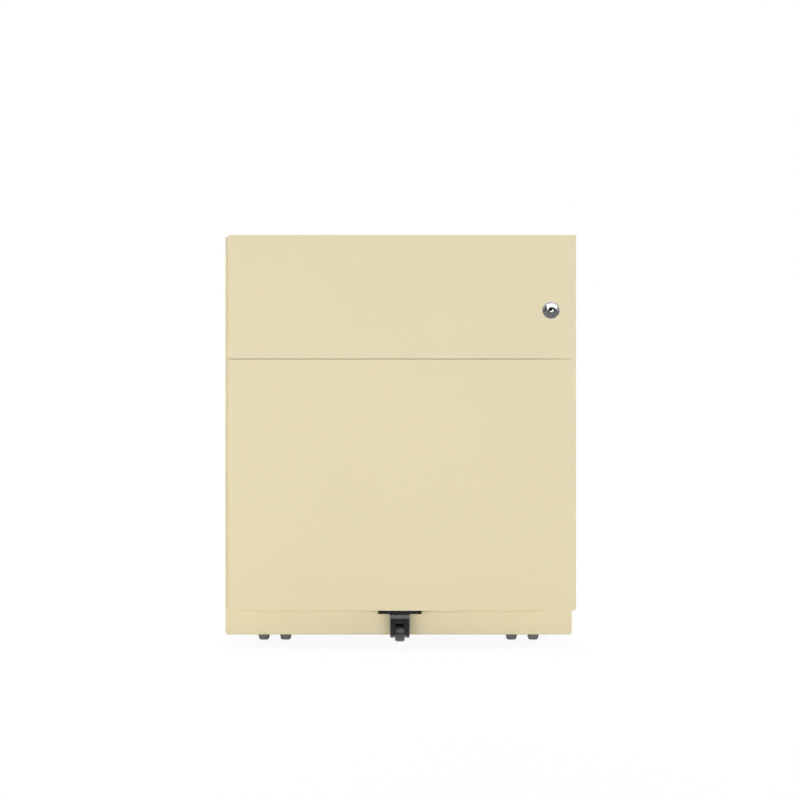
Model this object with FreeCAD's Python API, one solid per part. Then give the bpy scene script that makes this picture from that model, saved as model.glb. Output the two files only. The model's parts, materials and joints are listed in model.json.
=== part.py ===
"""Two-drawer steel cabinet on castors, with an anti-tilt castor and a lock on its drawers.

Millimetres, +Z up, the floor at Z 0 and the drawer faces towards -Y. The origin is under the
middle of the whole cabinet. Every piece is a separate solid or a group of like fasteners.
"""

import FreeCAD, Part
import math
import os

V = FreeCAD.Vector
X_AXIS, Y_AXIS, Z_AXIS = V(1, 0, 0), V(0, 1, 0), V(0, 0, 1)

# Whole cabinet
case_width = 420.0
case_height = 496.0
overall_depth = 565.0            # drawer faces to the back, without the lock
sheet = 1.0                      # case and drawer steel
bend = 0.8                       # inner radius of every fold
overrun = 5.0                    # how far a cutter runs past what it cuts
edge_margin = 0.3                # tolerance of the tests that pick edges

# Case
side_bottom = 16.0               # lower edge of the side and back panels
edge_width = 18.0                # box-shaped upright at each corner, across
front_lip = 45.0                 # its inner wall at the front, front to back
rear_lip = 60.0
side_foot = 12.0                 # flange along the lower edge of a side
top_skirt = 22.0
panel_gap = 0.3                  # open seam between two case panels
back_inset = 1.5
base_height = 50.0               # underside of the base pan
base_rim = 16.0
plinth_bottom = 14.3
plinth_fold = 12.0
plinth_end = 39.0                # full height at each end, lowered between
plinth_notch_top = 41.6
pan_lip_bottom = 28.0            # front lip of the base pan

# Drawer fronts
front_width = 417.0
front_overhang = 2.7             # past the right side of the case
front_zone = 25.0                # drawer faces to the face of the case
front_depth = 22.0
front_bottom = 46.0
upper_front_height = 148.6
front_gap = 0.5
face_round = 0.5
corner_round = 3.5               # lower right corner of the lower face
channel_width = 18.0             # finger channel behind the right edge
hem_width = 10.0
hem_round = 0.8
bumper_radius = 4.5
bumper_thick = 2.7
bumper_margin = 24.0
bumper_inset = 7.8               # from the left end of the drawer front

# Runners
runner_setback = 2.0             # behind the face of the case
runner_back_gap = 37.0           # to the back panel
runner_thick = 12.7
runner_sheet = 1.2
race_gap = 0.3                   # sliding clearance between two members
outer_reach = 9.5
middle_back = 2.4
middle_reach = 11.4
inner_back = 5.0
upper_runner_height = 35.0
upper_runner_rise = 14.5         # its middle above the drawer floor
lower_runner_height = 45.0
lower_runner_rise = 124.0

# Drawer boxes
tray_back_gap = 42.0             # to the back panel
tray_hem = 7.0
tray_tab = 12.0                  # welding tab on the front end of each tray side
upper_tray_rise = 2.6            # above the split between the fronts
upper_tray_depth = 106.0
lower_tray_rise = 6.0            # above the base pan's underside
lower_tray_headroom = 41.4       # below the split
divider_height = 92.0
divider_foot = 14.0
divider_end_gap = 4.0
file_rail_inset = 14.3           # leaves 330 mm between the rails for hanging files
file_rail_rise = 12.0
file_bar_width = 15.0

# Lock
lock_from_right = 30.3           # lock axis to the right edge of the drawer front
lock_below_top = 90.4
lock_proud = 4.0                 # bezel ahead of the drawer face
bezel_radius = 10.4
bezel_edge = 1.2
lock_body_radius = 8.25
lock_flat = 7.2                  # lock axis to the flats on the body
lock_body_length = 27.0
lock_seat_gap = 0.1
plug_radius = 6.2
plug_gap = 0.05
plug_recess = 0.5
plug_tail_radius = 3.5
keyway_width = 7.4
keyway_height = 1.8
keyway_depth = 14.0
keyway_bit_width = 2.2
keyway_bit_height = 1.1
nut_radius = 10.4
nut_thick = 3.0
cam_length = 20.0
cam_width = 8.0
cam_thick = 2.0
cam_gap = 0.5
cam_screw_radius = 1.6
cam_screw_head_radius = 4.5
cam_screw_depth = 9.0            # into the plug
cam_room = 2.5

# Lock bar in the right front upright
bar_width = 12.0
bar_thick = 3.0
bar_setback = 2.5                # behind the face of the case
bar_lip_gap = 0.6
bar_bottom = 70.0
bar_lift = 8.0                   # how far the cam raises the bar
hook_reach = 8.0
hook_depth = 7.0
hook_thick = 3.0
lug_height = 8.0
lug_thick = 2.0
lug_reach = 10.0
lug_play = 1.5                   # behind the hook, with the drawer shut
hook_play = 1.2                  # under the lug, with the bar down
lug_drop = 18.0                  # top of the drawer box to the lug's lower edge
bar_notch_depth = 3.2
bar_window_gap = 0.4
slot_margin = 1.5
guide_height = 14.0
guide_wall = 2.4
guide_gap = 0.3
guide_low = 100.0
guide_drop = 47.4                # split between the fronts to the upper guide

# Castors
wheel_radius = 20.0
wheel_width = 12.6
wheel_spacing = 27.0             # middle to middle of the two wheels of a castor
wheel_round = 3.0
wheel_dish_radius = 14.0
wheel_dish_depth = 1.6
wheel_hub_radius = 5.5
castor_side_inset = 56.2         # swivel axis to the side of the case
castor_inset = 53.0              # swivel axis to the face or the back of the case
castor_trail = 10.0
axle_radius = 3.0
axle_gap = 0.05                  # running clearance, on the radius
axle_end_gap = 0.4
wheel_side_gap = 0.6
hood_gap = 0.8
hood_thick = 2.0
hood_width = 40.4
hood_bottom = 27.0
hub_disc_radius = 12.0
stem_radius = 4.0
stem_block_half = 8.0
stem_block_bottom = 14.0
stem_length = 21.0
collar_radius = 11.0
collar_bottom = 37.0
plate_gap = 0.4
plate_width = 60.0
plate_depth = 46.0
plate_thick = 2.5
plate_corner = 6.0
plate_hole_x = 23.0
plate_hole_y = 16.0

# Anti-tilt castor under the lower drawer front
fifth_offset = 1.6               # right of the middle of the case
fifth_plate_width = 52.0
fifth_plate_depth = 17.0
fifth_plate_thick = 4.3
fifth_plate_setback = 3.0        # behind the drawer face
fifth_width = 23.7
fifth_wall = 2.2
fifth_depth = 14.0
fifth_setback = 5.0
fifth_slope_height = 5.8         # sloped shoulder under the bracket's plate
fifth_slope_depth = 1.5
fifth_back_thick = 1.2           # rear wall, over the wheel
fifth_back_bottom = 27.1
fifth_back_gap = 0.25
fifth_edge_round = 1.8
fifth_tip = 12.6                 # lowest point of the bracket
fifth_tip_round = 3.4
fifth_slot_width = 12.7
fifth_slot_top = 30.0
fifth_wheel_radius = 10.25
fifth_wheel_edge_radius = 9.2
fifth_wheel_round = 1.0
fifth_wheel_width = 11.8
fifth_wheel_bottom = 7.4
fifth_hub_radius = 4.0
fifth_hub_gap = 0.3
fifth_axle_radius = 2.0
fifth_axle_back = 8.0            # axle behind the face of the bracket
fifth_screw_spread = 38.0

# Screws
screw_radius = 2.3
screw_gap = 0.1
screw_head_radius = 4.0
low_head_height = 0.9            # runner screws, under the sliding members
pan_head_height = 2.2
castor_screw_reach = 5.5         # through the castor plate and the base pan
runner_screw_reach = 5.0
runner_screw_front = 30.0        # from the front end of the runner
runner_screw_rear = 10.0         # from its rear end

# Places that follow from the sizes
case_left = -(case_width + front_overhang) / 2
case_right = case_left + case_width
case_mid = (case_left + case_right) / 2
front_right = case_right + front_overhang
front_left = front_right - front_width
channel_x = front_right - channel_width
face_y = -(overall_depth + lock_proud) / 2 + lock_proud
back_y = face_y + overall_depth
case_y = face_y + front_zone
pan_back_y = face_y + front_depth
half = case_width / 2
clear_half = half - edge_width
tray_half = clear_half - runner_thick
skirt_z = case_height - top_skirt
rear_y = back_y - sheet
front_split = case_height - upper_front_height
runner_y = case_y + runner_setback
runner_length = rear_y - runner_back_gap - runner_y
tray_y = pan_back_y
tray_end_y = rear_y - tray_back_gap
tray_length = tray_end_y - tray_y
upper_tray_bottom = front_split + upper_tray_rise
upper_tray_top = upper_tray_bottom + upper_tray_depth
lower_tray_bottom = base_height + lower_tray_rise
lower_tray_top = front_split - lower_tray_headroom
upper_runner_mid = upper_tray_bottom + upper_runner_rise
lower_runner_mid = lower_tray_bottom + lower_runner_rise
upper_lug_bottom = upper_tray_top - lug_drop
lower_lug_bottom = lower_tray_top - lug_drop
lock_x = front_right - lock_from_right
lock_z = case_height - lock_below_top
lock_end_y = face_y + lock_body_length
cam_y = lock_end_y + cam_gap
lip_x = case_mid + clear_half
bar_x = lip_x + sheet + bar_lip_gap
bar_y = case_y + bar_setback
hook_y = bar_y + (bar_width - hook_depth) / 2
hook_x = bar_x - hook_reach
lug_y = hook_y + hook_depth + lug_play
bar_top = upper_lug_bottom + lug_height
fifth_x = case_mid + fifth_offset
fifth_plate_z = front_bottom - fifth_plate_thick
fifth_axle_y = face_y + fifth_setback + fifth_axle_back
fifth_axle_z = fifth_wheel_bottom + fifth_wheel_radius
castor_plate_z = base_height - plate_thick


def box(x, y, z):
    """Block between pairs of coordinates."""
    return Part.makeBox(x[1] - x[0], y[1] - y[0], z[1] - z[0], V(x[0], y[0], z[0]))


def across(side, near, far):
    """Pair of X coordinates at two distances from the middle of the case, right or left."""
    return sorted((case_mid + side * near, case_mid + side * far))


def rod(radius, start, run):
    """Cylinder from start along run."""
    return Part.makeCylinder(radius, run.Length, start, run)


def joined(first, *others):
    """One solid from touching solids, without the seams between them."""
    return first.fuse(list(others)).removeSplitter()


def rounded(shape, radius, wanted):
    """Fillets the edges whose bounding box passes the test."""
    return shape.makeFillet(radius, [e for e in shape.Edges if wanted(e.BoundBox)])


def along_z(bounds):
    return bounds.XLength < edge_margin and bounds.YLength < edge_margin


def folded(path, run, side, thick=sheet):
    """Sheet with one face on path, folded at its corners and as long as run.

    The sheet lies on the side of path that run x direction points to, or opposite with side -1.
    """
    axis = V(run).normalize()
    directions = [(b - a).normalize() for a, b in zip(path, path[1:])]
    normals = [axis.cross(d) for d in directions]

    def face_line(offset):
        edges = []
        start = path[0] + normals[0] * offset
        for i, corner in enumerate(path[1:-1]):
            before, after = directions[i], directions[i + 1]
            turn = 1 if before.cross(after).dot(axis) > 0 else -1
            radius = bend + thick if turn == side else bend
            tangent = radius * math.tan(before.getAngle(after) / 2)
            centre = corner - before * tangent + normals[i] * (radius * turn)
            first = corner - before * tangent + normals[i] * offset
            last = corner + after * tangent + normals[i + 1] * offset
            outwards = (first + last - centre * 2).normalize()
            middle = centre + outwards * (radius - turn * offset)
            edges.append(Part.LineSegment(start, first).toShape())
            edges.append(Part.Arc(first, middle, last).toShape())
            start = last
        end = path[-1] + normals[-1] * offset
        edges.append(Part.LineSegment(start, end).toShape())
        return edges, path[0] + normals[0] * offset, end

    near, near_start, near_end = face_line(0)
    far, far_start, far_end = face_line(side * thick)
    caps = [Part.LineSegment(near_start, far_start).toShape()]
    caps.append(Part.LineSegment(near_end, far_end).toShape())
    wire = Part.Wire(Part.sortEdges(near + far + caps)[0])
    return Part.Face(wire).extrude(run)


def screw(head, direction, reach, head_height):
    """Pan-head screw with its head seated at a point and its shank along direction."""
    cap = rod(screw_head_radius, head, direction * -head_height)
    cap = rounded(cap, head_height / 2, lambda b: not_on_plane(b, head, direction))
    return joined(cap, rod(screw_radius, head, direction * reach))


def not_on_plane(bounds, point, direction):
    """True for a round edge that doesn't lie in the plane through point, square to direction."""
    flat = min(bounds.XLength, bounds.YLength, bounds.ZLength) < edge_margin
    return flat and abs((bounds.Center - point).dot(direction)) > edge_margin


def hole(point, direction, length):
    """Cutter for a screw's clearance hole, centred on point."""
    return rod(screw_radius + screw_gap, point - direction * (length / 2), direction * length)


# Screw places, shared by the pieces that they join

def runner_screw_places(side, mid_z):
    face = case_mid + side * (clear_half - runner_sheet)
    front = runner_y + runner_screw_front
    rear = runner_y + runner_length - runner_screw_rear
    return [V(face, y, mid_z) for y in (front, rear)]


def castor_axes():
    """Name and swivel axis of each castor."""
    places = {}
    for end, y in (("front", case_y + castor_inset), ("rear", back_y - castor_inset)):
        for hand, side in (("left", -1), ("right", 1)):
            places[f"{end}_{hand}"] = V(case_mid + side * (half - castor_side_inset), y, 0)
    return places


def castor_screw_places():
    spots = []
    for axis in castor_axes().values():
        for i in (-1, 1):
            for j in (-1, 1):
                spots.append(axis + V(i * plate_hole_x, j * plate_hole_y, castor_plate_z))
    return spots


def fifth_screw_places():
    y = face_y + fifth_plate_setback + fifth_plate_depth / 2
    return [V(fifth_x + i * fifth_screw_spread / 2, y, front_bottom + sheet) for i in (-1, 1)]


# Case

def side_panel(side):
    """Outer skin with a box-shaped upright folded at each end, and a flange along its foot."""
    x_in, x_out = case_mid + clear_half, case_mid + half
    corners = [(x_in, case_y + front_lip), (x_in, case_y), (x_out, case_y)]
    corners += [(x_out, rear_y), (x_in, rear_y), (x_in, rear_y - rear_lip)]
    top = case_height - sheet - panel_gap
    path = [V(x, y, side_bottom) for x, y in corners]
    panel = folded(path, V(0, 0, top - side_bottom), 1)
    foot_y = (case_y + front_lip, rear_y - rear_lip)
    foot_x = (x_out - side_foot, x_out - sheet / 2)
    panel = joined(panel, box(foot_x, foot_y, (side_bottom, side_bottom + sheet)))
    under_skirt = (skirt_z - panel_gap, case_height)
    outside = box((x_in - overrun, x_out + overrun), (case_y - overrun, rear_y + overrun), under_skirt)
    room = sheet + panel_gap
    kept = box((x_in - overrun, x_out - room), (case_y + room, rear_y - room), under_skirt)
    panel = panel.cut(outside.cut(kept))
    for mid_z in (upper_runner_mid, lower_runner_mid):
        for place in runner_screw_places(1, mid_z):
            panel = panel.cut(hole(place, X_AXIS, 2 * runner_screw_reach))
    if side < 0:
        return panel.mirror(V(case_mid, 0, 0), X_AXIS)
    return panel.cut(lip_slots())


def lip_slots():
    """Slots in the right front upright for the hooks of the lock bar and for the lock cam."""
    x = (lip_x - overrun, lip_x + sheet + overrun)
    hook_ys = (hook_y - slot_margin, hook_y + hook_depth + slot_margin)
    cutters = []
    for low in hook_bottoms():
        z = (low - slot_margin, low + bar_lift + hook_thick + slot_margin)
        cutters.append(box(x, hook_ys, z))
    cam_ys = (cam_y - cam_gap, cam_y + cam_thick + slot_margin)
    cam_zs = (lock_z - cam_length - slot_margin, lock_z + cam_width / 2 + slot_margin)
    cutters.append(box(x, cam_ys, cam_zs))
    return Part.makeCompound(cutters)


def top_panel():
    """Pan with a skirt all round, turned over the top of the case."""
    outer = box(across(1, -half, half), (case_y, back_y), (skirt_z, case_height))
    outer = rounded(outer, bend + sheet, lambda b: b.ZMax > case_height - edge_margin or along_z(b))
    inner_x = across(1, sheet - half, half - sheet)
    inner = box(inner_x, (case_y + sheet, rear_y), (skirt_z - overrun, case_height - sheet))
    inner = rounded(inner, bend, lambda b: b.ZMin > skirt_z or along_z(b))
    return outer.cut(inner)


def back_panel():
    x = across(1, back_inset - half, half - back_inset)
    return box(x, (rear_y, back_y), (side_bottom, skirt_z - panel_gap))


def base_pan():
    """Floor of the case between the uprights, with a rim up each side and a lip down its front."""
    low, high = across(1, -clear_half, clear_half)
    rim = base_height + base_rim
    start = case_y + sheet + bend
    path = [V(x, start, z) for x, z in ((low, rim), (low, base_height), (high, base_height), (high, rim))]
    pan = folded(path, V(0, rear_y - start, 0), -1)
    low, high = across(1, sheet + bend - clear_half, clear_half - sheet - bend)
    top = base_height + sheet
    corners = ((case_y, pan_lip_bottom), (case_y, top), (start + overrun, top))
    lip = folded([V(low, y, z) for y, z in corners], V(high - low, 0, 0), -1)
    pan = joined(pan, lip)
    for place in castor_screw_places():
        pan = pan.cut(hole(place, Z_AXIS, 2 * castor_screw_reach))
    return pan


def plinth_rail():
    """Plate across the foot of the uprights, folded back underneath and lowered between its ends."""
    front = case_y - sheet
    start, end = across(1, sheet + bend - half, half - sheet - bend)
    corners = ((front + plinth_fold, plinth_bottom), (front, plinth_bottom), (front, base_height))
    rail = folded([V(start, y, z) for y, z in corners], V(end - start, 0, 0), -1)
    notch_half = half - plinth_end
    notch_y = (front - overrun, case_y + overrun)
    notch_z = (plinth_notch_top, base_height + overrun)
    return rail.cut(box(across(1, -notch_half, notch_half), notch_y, notch_z))


# Telescopic runners: three nested channels, seen across from the upright towards the drawer

def runner_member(side, mid_z, height, back, reach, opens_inwards):
    """Channel between two distances from the upright."""
    web, tips = (back, reach) if opens_inwards else (reach, back)
    corners = ((tips, height / 2), (web, height / 2), (web, -height / 2), (tips, -height / 2))
    path = [V(case_mid + side * (clear_half - a), runner_y, mid_z + z) for a, z in corners]
    facing = side if opens_inwards else -side
    return folded(path, V(0, runner_length, 0), facing, runner_sheet)


def runner(side, mid_z, height):
    """Outer, middle and inner member of one runner."""
    step = 2 * (runner_sheet + race_gap)
    outer = runner_member(side, mid_z, height, 0, outer_reach, True)
    for place in runner_screw_places(side, mid_z):
        outer = outer.cut(hole(place, X_AXIS, 2 * runner_screw_reach))
    middle = runner_member(side, mid_z, height - step, middle_back, middle_reach, True)
    inner = runner_member(side, mid_z, height - 2 * step, inner_back, runner_thick, False)
    return outer, middle, inner


def runner_screws():
    found = []
    for side in (-1, 1):
        for mid_z in (upper_runner_mid, lower_runner_mid):
            for place in runner_screw_places(side, mid_z):
                found.append(screw(place, X_AXIS * side, runner_screw_reach, low_head_height))
    return Part.makeCompound(found)


# Drawer fronts

def on_face(bounds):
    """True for an edge in the plane of the drawer faces."""
    return bounds.YMax < face_y + edge_margin


def front_span(upper):
    """Lower and upper edge of a drawer front."""
    if upper:
        return front_split + front_gap / 2, case_height
    return front_bottom, front_split - front_gap / 2


def drawer_front(upper):
    """Face folded back at its left, top and bottom, and hemmed along the finger channel."""
    low, high = front_span(upper)
    outer = box((front_left, front_right), (face_y, pan_back_y), (low, high))
    tip = front_right - edge_margin
    outer = rounded(outer, face_round, lambda b: on_face(b) and b.XMin < tip)
    outer = rounded(outer, hem_round, lambda b: on_face(b) and b.XMin > tip)
    inner_x = (front_left + sheet, front_right + overrun)
    inner = box(inner_x, (face_y + sheet, pan_back_y + overrun), (low + sheet, high - sheet))
    pan = outer.cut(inner)
    channel_y = (face_y + sheet, pan_back_y + overrun)
    pan = pan.cut(box((channel_x, front_right + overrun), channel_y, (low - overrun, high + overrun)))
    hem_y = (face_y + sheet, face_y + 2 * sheet)
    hem = box((front_right - hem_width, front_right), hem_y, (low + face_round, high - face_round))
    hem = rounded(hem, hem_round, lambda b: b.XMin > tip and b.YMin > hem_y[0] + hem_round)
    pan = joined(pan, hem)
    if upper:
        return pan.cut(lock_hole())
    pan = pan.cut(face_corner())
    for place in fifth_screw_places():
        pan = pan.cut(hole(place, Z_AXIS, 2 * sheet + overrun))
    return pan


def face_corner():
    """Cutter that rounds the lower right corner of the lower face."""
    x, z = front_right - corner_round, front_bottom + corner_round
    y = (face_y - overrun, pan_back_y)
    square = box((x, front_right + overrun), y, (front_bottom - overrun, z))
    return square.cut(rod(corner_round, V(x, y[0], z), Y_AXIS * (y[1] - y[0])))


def front_liner(upper):
    """Inner face that closes the drawer front and walls off the finger channel."""
    low, high = front_span(upper)
    corners = ((front_left + sheet, pan_back_y), (channel_x, pan_back_y), (channel_x, face_y + sheet))
    path = [V(x, y, low + sheet) for x, y in corners]
    liner = folded(path, V(0, 0, high - low - 2 * sheet), -1)
    return liner.cut(lock_hole()) if upper else liner


def bumpers(upper):
    """Rubber discs on the liner that meet the case."""
    low, high = front_span(upper)
    x = front_left + bumper_inset
    places = [(x, low + bumper_margin), (x, high - 2 * bumper_margin)]
    if upper:
        places.append((case_mid + clear_half - bumper_margin, case_height - top_skirt / 2))
    found = [rod(bumper_radius, V(x, pan_back_y, z), Y_AXIS * bumper_thick) for x, z in places]
    return Part.makeCompound(found)


# Drawer boxes

def tray(bottom, top, lug_bottom):
    """Floor and sides folded from one sheet, with hems, welding tabs and a lug for the lock bar."""
    left, right = across(1, -tray_half, tray_half)
    corners = ((left + tray_hem, top), (left, top), (left, bottom))
    corners += ((right, bottom), (right, top), (right - tray_hem, top))
    body = folded([V(x, tray_y, z) for x, z in corners], V(0, tray_length, 0), -1)
    tabs = []
    for side in (-1, 1):
        x = across(side, tray_half - tray_tab, tray_half - sheet / 2)
        tabs.append(box(x, (tray_y, tray_y + sheet), (bottom + 2 * sheet, top - 2 * sheet)))
    lug_x = (right - sheet / 2, right + lug_reach)
    lug = box(lug_x, (lug_y, lug_y + lug_thick), (lug_bottom, lug_bottom + lug_height))
    return joined(body, *tabs, lug)


def upper_tray():
    """Upper drawer box, cut away round the lock."""
    body = tray(upper_tray_bottom, upper_tray_top, upper_lug_bottom)
    right = case_mid + tray_half
    x = (right - tray_tab - overrun, right + sheet)
    y = (tray_y - overrun, cam_y + cam_thick + pan_head_height + cam_room)
    z = (lock_z - cam_length - cam_room, lock_z + lock_body_radius + cam_room)
    return body.cut(box(x, y, z))


def tray_back(bottom, top):
    """Rear wall of a drawer box, with a tab folded forward at each side."""
    left, right = across(1, sheet - tray_half, tray_half - sheet)
    tab_y = tray_end_y - tray_tab
    corners = ((left, tab_y), (left, tray_end_y), (right, tray_end_y), (right, tab_y))
    margin = sheet + bend
    path = [V(x, y, bottom + margin) for x, y in corners]
    return folded(path, V(0, 0, top - bottom - 2 * margin), -1)


def row_divider():
    """Upright between the two rows of fiche, on an angle along the drawer floor."""
    floor = upper_tray_bottom + sheet
    start = tray_y + divider_end_gap
    end = tray_end_y - sheet
    corners = ((case_mid, floor + divider_height), (case_mid, floor), (case_mid + divider_foot, floor))
    return folded([V(x, start, z) for x, z in corners], V(0, end - start, 0), -1)


def file_frame():
    """Two upstanding rails for hanging files, joined by a flat bar at each end."""
    low, high = lower_tray_top, lower_tray_top + sheet
    span = (tray_y + divider_end_gap, tray_end_y)
    pieces = []
    for side in (-1, 1):
        outer = case_mid + side * tray_half
        inner = outer - side * file_rail_inset
        corners = ((outer, low), (inner, low), (inner, high + file_rail_rise))
        path = [V(x, span[0], z) for x, z in corners]
        pieces.append(folded(path, V(0, span[1] - span[0], 0), side))
    reach = tray_half - file_rail_inset + 2 * sheet
    x = across(1, -reach, reach)
    for y in (span[0], span[1] - file_bar_width):
        pieces.append(box(x, (y, y + file_bar_width), (low, high)))
    return joined(*pieces)


# Lock

def lock_hole():
    """Cutter for the lock body, flats included."""
    start = V(lock_x, face_y - overrun, lock_z)
    shaft = rod(lock_body_radius + lock_seat_gap, start, Y_AXIS * (lock_body_length + 2 * overrun))
    return shaft.common(flats_block(lock_seat_gap, 2 * overrun))


def flats_block(gap, extra):
    """Block that leaves the two side flats on the lock body."""
    z = lock_body_radius + gap
    x = lock_flat + gap
    y = (face_y - extra, lock_end_y + extra)
    return box((lock_x - x, lock_x + x), y, (lock_z - z, lock_z + z))


def lock_housing():
    """Domed bezel and flat-sided body, bored through for the plug."""
    body = rod(lock_body_radius, V(lock_x, face_y, lock_z), Y_AXIS * lock_body_length)
    body = body.common(flats_block(0, 0))
    rise = lock_proud - bezel_edge
    mouth = plug_radius + plug_gap
    front_y, edge_y = face_y - lock_proud, face_y - bezel_edge
    span = bezel_radius - mouth
    rim = V(lock_x, edge_y, lock_z + bezel_radius)
    crown = V(lock_x, front_y, lock_z + mouth)
    bulge = V(lock_x, edge_y - rise * math.sin(math.pi / 4), lock_z + mouth + span * math.cos(math.pi / 4))
    corners = [crown, V(lock_x, front_y, lock_z), V(lock_x, face_y, lock_z), V(lock_x, face_y, rim.z), rim]
    edges = [Part.LineSegment(a, b).toShape() for a, b in zip(corners, corners[1:])]
    edges.append(Part.Arc(rim, bulge, crown).toShape())
    bezel = Part.Face(Part.Wire(Part.sortEdges(edges)[0])).revolve(V(lock_x, 0, lock_z), Y_AXIS, 360)
    bore = rod(mouth, V(lock_x, front_y - overrun, lock_z), Y_AXIS * (lock_body_length + 3 * overrun))
    return joined(bezel, body).cut(bore)


def lock_plug():
    """Key plug with its tail through the cam, tapped for the cam screw."""
    start_y = face_y - lock_proud + plug_recess
    plug = rod(plug_radius, V(lock_x, start_y, lock_z), Y_AXIS * (lock_end_y - start_y))
    tail_length = cam_gap + cam_thick
    tail = rod(plug_tail_radius, V(lock_x, lock_end_y, lock_z), Y_AXIS * tail_length)
    tap = rod(cam_screw_radius + plug_gap, V(lock_x, cam_y + cam_thick, lock_z), Y_AXIS * -cam_screw_depth)
    slot_y = (start_y - overrun, start_y + keyway_depth)
    w, h = keyway_width / 2, keyway_height / 2
    slot = box((lock_x - w, lock_x + w), slot_y, (lock_z - h, lock_z + h))
    bit_half = keyway_bit_width / 2
    bit = box((lock_x - bit_half, lock_x + bit_half), slot_y, (lock_z, lock_z + h + keyway_bit_height))
    return joined(plug, tail).cut([slot, bit, tap])


def lock_cam():
    """Finger that hangs down from the plug's tail while the lock is open."""
    w = cam_width / 2
    y = (cam_y, cam_y + cam_thick)
    finger = box((lock_x - w, lock_x + w), y, (lock_z - cam_length, lock_z))
    disc = rod(w + cam_thick, V(lock_x, cam_y, lock_z), Y_AXIS * cam_thick)
    eye = rod(plug_tail_radius, V(lock_x, cam_y - overrun, lock_z), Y_AXIS * (cam_thick + 2 * overrun))
    return joined(finger, disc).cut(eye)


def lock_cam_screw():
    """Screw that holds the cam on the plug's tail."""
    back = V(lock_x, cam_y + cam_thick, lock_z)
    head = rod(cam_screw_head_radius, back, Y_AXIS * pan_head_height)
    return joined(head, rod(cam_screw_radius, back, Y_AXIS * -(cam_screw_depth - cam_gap)))


def lock_nut():
    """Ring nut that clamps the lock body behind the drawer face."""
    ring = rod(nut_radius, V(lock_x, face_y + sheet, lock_z), Y_AXIS * nut_thick)
    bore = rod(lock_body_radius, V(lock_x, face_y, lock_z), Y_AXIS * lock_body_length)
    return ring.cut(bore)


# Lock bar

def hook_bottoms():
    """Lower edge of each hook, with the bar down."""
    return [lug - hook_play - hook_thick for lug in (lower_lug_bottom, upper_lug_bottom)]


def lock_bar():
    """Flat bar with a hook for each drawer and a notch that the cam lifts it by."""
    x = (bar_x, bar_x + bar_thick)
    bar = box(x, (bar_y, bar_y + bar_width), (bar_bottom, bar_top))
    hooks = []
    for low in hook_bottoms():
        hook_z = (low, low + hook_thick)
        hooks.append(box((hook_x, bar_x + bar_thick / 2), (hook_y, hook_y + hook_depth), hook_z))
    bar = joined(bar, *hooks)
    notch_top = lock_z + cam_width / 2 + bar_window_gap - bar_lift
    notch_bottom = lock_z - cam_length - cam_width
    notch_y = (bar_y - overrun, bar_y + bar_notch_depth)
    notch_x = (bar_x - overrun, bar_x + bar_thick + overrun)
    return bar.cut(box(notch_x, notch_y, (notch_bottom, notch_top)))


def lock_bar_guides():
    """Plastic clips that hold the bar against the upright and let it rise."""
    found = []
    x = (lip_x + sheet, bar_x + bar_thick + guide_gap + guide_wall)
    y = (bar_y - bar_setback + sheet + bend, bar_y + bar_width + guide_gap + guide_wall)
    for low in (guide_low, front_split - guide_drop):
        body = box(x, y, (low, low + guide_height))
        x_room = (x[0] - overrun, bar_x + bar_thick + guide_gap)
        y_room = (bar_y - guide_gap, bar_y + bar_width + guide_gap)
        found.append(body.cut(box(x_room, y_room, (low - overrun, low + guide_height + overrun))))
    return Part.makeCompound(found)


# Castors

def castor_plate(axis):
    """Mounting plate with its swivel pin, riveted as one."""
    w, d = plate_width / 2, plate_depth / 2
    plate = box((axis.x - w, axis.x + w), (axis.y - d, axis.y + d), (castor_plate_z, base_height))
    plate = rounded(plate, plate_corner, along_z)
    pin = rod(stem_radius, V(axis.x, axis.y, castor_plate_z), Z_AXIS * -stem_length)
    return joined(plate, pin)


def castor_plates():
    plates = []
    for axis in castor_axes().values():
        plate = castor_plate(axis)
        for place in castor_screw_places():
            plate = plate.cut(hole(place, Z_AXIS, 2 * castor_screw_reach))
        plates.append(plate)
    return Part.makeCompound(plates)


def castor_screws():
    found = [screw(p, Z_AXIS, castor_screw_reach, pan_head_height) for p in castor_screw_places()]
    return Part.makeCompound(found)


def castor_housing(axis):
    """Hooded body between the two wheels, bored for the swivel pin and the axle."""
    hub = V(axis.x, axis.y + castor_trail, wheel_radius)
    web_half = wheel_spacing / 2 - wheel_width / 2 - wheel_side_gap
    hood_inner = wheel_radius + hood_gap
    hood_outer = hood_inner + hood_thick
    reach_y = (hub.y - 2 * hood_outer, hub.y + 2 * hood_outer)
    upper = box((hub.x - hood_width, hub.x + hood_width), reach_y, (hood_bottom, hub.z + 2 * hood_outer))

    def disc(radius, half_width):
        return rod(radius, hub - X_AXIS * half_width, X_AXIS * (2 * half_width))

    hood = disc(hood_outer, hood_width / 2).cut(disc(hood_inner, hood_width)).common(upper)
    web = disc(hood_inner + hood_thick / 2, web_half).common(upper)
    lower_web = disc(hub_disc_radius, web_half)
    block_y = (axis.y - stem_block_half, axis.y + stem_block_half)
    block_z = (stem_block_bottom, collar_bottom + hood_thick)
    block = box((axis.x - web_half, axis.x + web_half), block_y, block_z)
    collar_top = castor_plate_z - plate_gap
    collar = rod(collar_radius, V(axis.x, axis.y, collar_bottom), Z_AXIS * (collar_top - collar_bottom))
    body = joined(hood, web, lower_web, block, collar)
    for offset in (-wheel_spacing / 2, wheel_spacing / 2):
        room_half = wheel_width / 2 + wheel_side_gap
        room = rod(hood_inner, hub + X_AXIS * (offset - room_half), X_AXIS * (2 * room_half))
        body = body.cut(room)
    pin_end = castor_plate_z - stem_length - plate_gap
    pin_top = collar_top + overrun
    pin_room = rod(stem_radius + axle_gap, V(axis.x, axis.y, pin_top), Z_AXIS * (pin_end - pin_top))
    axle_room = disc(axle_radius, hood_width)
    return body.cut([pin_room, axle_room])


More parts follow.
